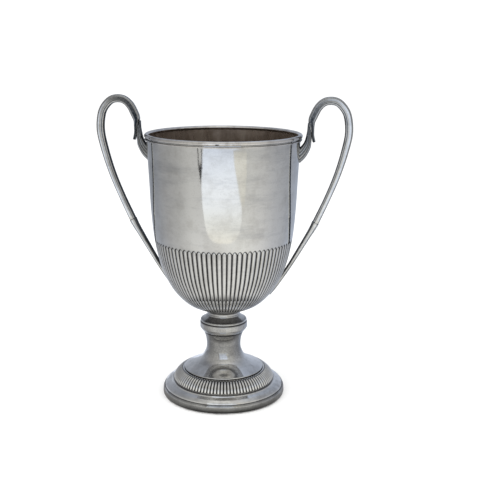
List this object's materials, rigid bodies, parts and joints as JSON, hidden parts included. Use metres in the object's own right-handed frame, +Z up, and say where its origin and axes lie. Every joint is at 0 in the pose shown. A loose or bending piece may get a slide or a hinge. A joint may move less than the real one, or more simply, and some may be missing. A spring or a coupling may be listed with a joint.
{
  "type": "cup trophy",
  "caption": "Two-handled presentation cup: deep bowl with a fluted lower half, tall looped strap handles, trumpet stem and a stepped round foot with a reeded band.",
  "frame": {"origin": "centre of the foot, in the plane that it stands on", "axes": "+Z up along the axis of the bowl and stem; the handles lie in the XZ plane, at -X and +X"},
  "size_m": [0.2376, 0.1462, 0.2882],
  "materials": {
    "bowl_silver": "aged polished silver plate on nickel silver, dark in the grooves",
    "rim_silver": "worn polished silver plate",
    "stem_silver": "aged polished silver plate",
    "foot_silver": "aged polished silver plate, dark between the reeds",
    "handle_silver": "worn polished silver plate on cast nickel silver",
    "fixing_brass": "dull turned brass"
  },
  "bodies": {
    "root": {"bowl": "bowl_silver", "rim_wire": "rim_silver", "rim_fillet_wire": "rim_silver", "bowl_boss": "stem_silver", "stem_collar": "stem_silver", "stem": "stem_silver", "stem_seat_plate": "fixing_brass", "draw_stud": "fixing_brass", "stud_washer": "fixing_brass", "stud_nut": "fixing_brass", "foot_reeded_band": "foot_silver", "foot_flange": "foot_silver", "foot_ring": "foot_silver", "handle_right_loop": "handle_silver", "handle_right_arm": "handle_silver", "handle_right_root_bracket": "handle_silver", "handle_left_loop": "handle_silver", "handle_left_arm": "handle_silver", "handle_left_root_bracket": "handle_silver"}
  },
  "joints": []
}
